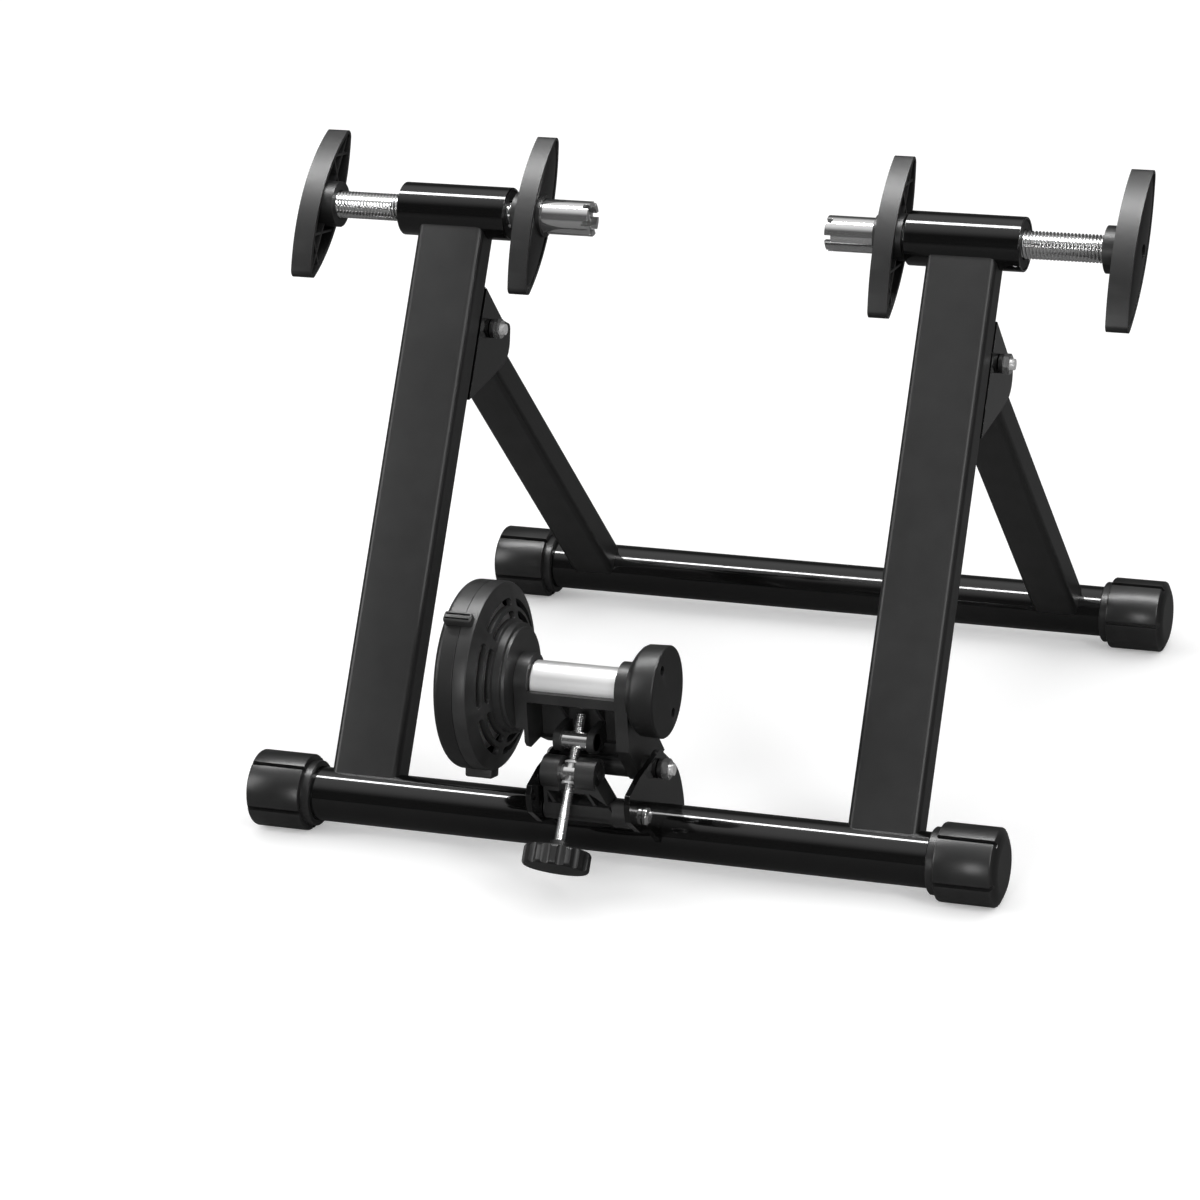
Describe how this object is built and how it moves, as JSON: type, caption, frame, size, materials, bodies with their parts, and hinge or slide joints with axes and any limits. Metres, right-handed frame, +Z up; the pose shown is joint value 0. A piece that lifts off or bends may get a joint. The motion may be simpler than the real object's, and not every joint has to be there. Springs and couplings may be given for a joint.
{
  "type": "wheel-on bicycle trainer stand",
  "caption": "Folding A-frame stand that clamps a bicycle's rear hub between winged screw clamps and presses a magnetically braked roller on the tyre.",
  "frame": {"origin": "middle of the footprint of the open stand, on the floor", "axes": "+X along the base tubes from the drum side to the bearing cap side, +Y from the roller side to the folding rear frame, +Z up"},
  "size_m": [0.6186, 0.6008, 0.4373],
  "materials": {
    "frame_gloss": "gloss black stove enamel",
    "frame_satin": "satin black powder coat",
    "cap_plastic": "semi-gloss black moulded plastic",
    "moulding": "satin black glass-filled nylon",
    "chrome": "bright chrome plate",
    "zinc": "bright zinc plate",
    "roller_steel": "bright machined steel",
    "rotor_aluminium": "machined aluminium",
    "magnet": "nickel plate",
    "nylon": "black nylon"
  },
  "bodies": {
    "root": {"front_base_tube": "frame_gloss", "front_cap_left": "cap_plastic", "front_cap_right": "cap_plastic", "upright_left": "frame_satin", "upright_right": "frame_satin", "clamp_barrel_left": "frame_gloss", "clamp_barrel_right": "frame_gloss", "barrel_insert_left": "zinc", "barrel_insert_right": "zinc", "hinge_bracket_left": "frame_gloss", "hinge_bracket_right": "frame_gloss", "hinge_bolt_left": "zinc", "hinge_bolt_right": "zinc", "hinge_nut_left": "chrome", "hinge_nut_right": "chrome", "unit_bracket": "frame_gloss", "yoke_pivot_bolt": "zinc", "yoke_pivot_nut": "chrome", "arm_pin": "chrome", "arm_pin_clip": "zinc", "adjuster_arm": "moulding"},
    "rear_frame": {"strut_left": "frame_satin", "strut_right": "frame_satin", "rear_base_tube": "frame_gloss", "rear_cap_left": "cap_plastic", "rear_cap_right": "cap_plastic", "strut_spacer_left_a": "nylon", "strut_spacer_left_b": "nylon", "strut_spacer_right_a": "nylon", "strut_spacer_right_b": "nylon"},
    "left_cup": {"clamp_cup_left": "chrome"},
    "left_spindle": {"threaded_rod_left": "zinc", "outer_wing_left": "moulding"},
    "left_lock": {"lock_wing_left": "moulding"},
    "right_cup": {"clamp_cup_right": "chrome"},
    "right_spindle": {"threaded_rod_right": "zinc", "outer_wing_right": "moulding"},
    "right_lock": {"lock_wing_right": "moulding"},
    "roller_yoke": {"yoke": "moulding", "drum_shell_inner": "moulding", "drum_shell_outer": "moulding", "magnet_plate": "magnet", "bearing_left": "chrome", "bearing_right": "chrome", "bearing_cap": "moulding", "cap_screw_1": "zinc", "cap_screw_2": "zinc"},
    "rotor": {"roller": "roller_steel", "roller_shaft": "zinc", "brake_disc": "rotor_aluminium"},
    "nut_swivel": {"barrel_nut": "chrome"},
    "trunnion_swivel": {"trunnion": "chrome"},
    "adjuster": {"adjusting_screw": "chrome", "adjusting_knob": "moulding", "thrust_washer_lower": "zinc", "thrust_washer_upper": "zinc"}
  },
  "joints": [
    {"name": "rear_frame_fold", "type": "hinge", "parent": "root", "child": "rear_frame", "pos_m": [-0.003, 0.01844, 0.3064], "axis": [1, 0, 0], "range_deg": [-68, 0]},
    {"name": "left_clamp_slide", "type": "slide", "parent": "root", "child": "left_cup", "axis": [1, 0, 0], "range_m": [-0.0041, 0.0501]},
    {"name": "left_clamp_turn", "type": "hinge", "parent": "left_cup", "child": "left_spindle", "pos_m": [-0.203, 0.03072, 0.389], "axis": [1, 0, 0], "range_deg": [-585, 7200]},
    {"name": "left_lock_turn", "type": "hinge", "parent": "left_cup", "child": "left_lock", "pos_m": [-0.135, 0.03072, 0.389], "axis": [1, 0, 0], "range_deg": [0, 540]},
    {"name": "right_clamp_slide", "type": "slide", "parent": "root", "child": "right_cup", "axis": [-1, 0, 0], "range_m": [-0.0023, 0.0571]},
    {"name": "right_clamp_turn", "type": "hinge", "parent": "right_cup", "child": "right_spindle", "pos_m": [0.197, 0.03072, 0.389], "axis": [-1, 0, 0], "range_deg": [-315, 8200]},
    {"name": "right_lock_turn", "type": "hinge", "parent": "right_cup", "child": "right_lock", "pos_m": [0.129, 0.03072, 0.389], "axis": [-1, 0, 0], "range_deg": [0, 540]},
    {"name": "yoke_swing", "type": "hinge", "parent": "root", "child": "roller_yoke", "pos_m": [-0.003, -0.21208, 0.0802], "axis": [1, 0, 0], "range_deg": [-8, 5]},
    {"name": "roller_spin", "type": "hinge", "parent": "roller_yoke", "child": "rotor", "pos_m": [-0.017, -0.22228, 0.1411], "axis": [1, 0, 0], "continuous": true},
    {"name": "nut_tilt", "type": "hinge", "parent": "roller_yoke", "child": "nut_swivel", "pos_m": [-0.017, -0.23159, 0.10342], "axis": [1, 0, 0], "range_deg": [-3.5, 5.4]},
    {"name": "trunnion_tilt", "type": "hinge", "parent": "root", "child": "trunnion_swivel", "pos_m": [-0.017, -0.24468, 0.085], "axis": [1, 0, 0], "range_deg": [-2.8, 1.8]},
    {"name": "knob_turn", "type": "hinge", "parent": "trunnion_swivel", "child": "adjuster", "pos_m": [-0.017, -0.24468, 0.085], "axis": [0, 0.5793, 0.8151], "range_deg": [-1170, 730]}
  ],
  "couplings": [
    {"joint": "left_clamp_slide", "follows": "left_clamp_turn", "m_per_rad": 0.00039789},
    {"joint": "right_clamp_slide", "follows": "right_clamp_turn", "m_per_rad": 0.00039789},
    {"joint": "yoke_swing", "follows": "knob_turn", "ratio": 0.006778},
    {"joint": "trunnion_tilt", "follows": "knob_turn", "ratio": 0.002291},
    {"joint": "nut_tilt", "follows": "knob_turn", "ratio": -0.004487}
  ]
}
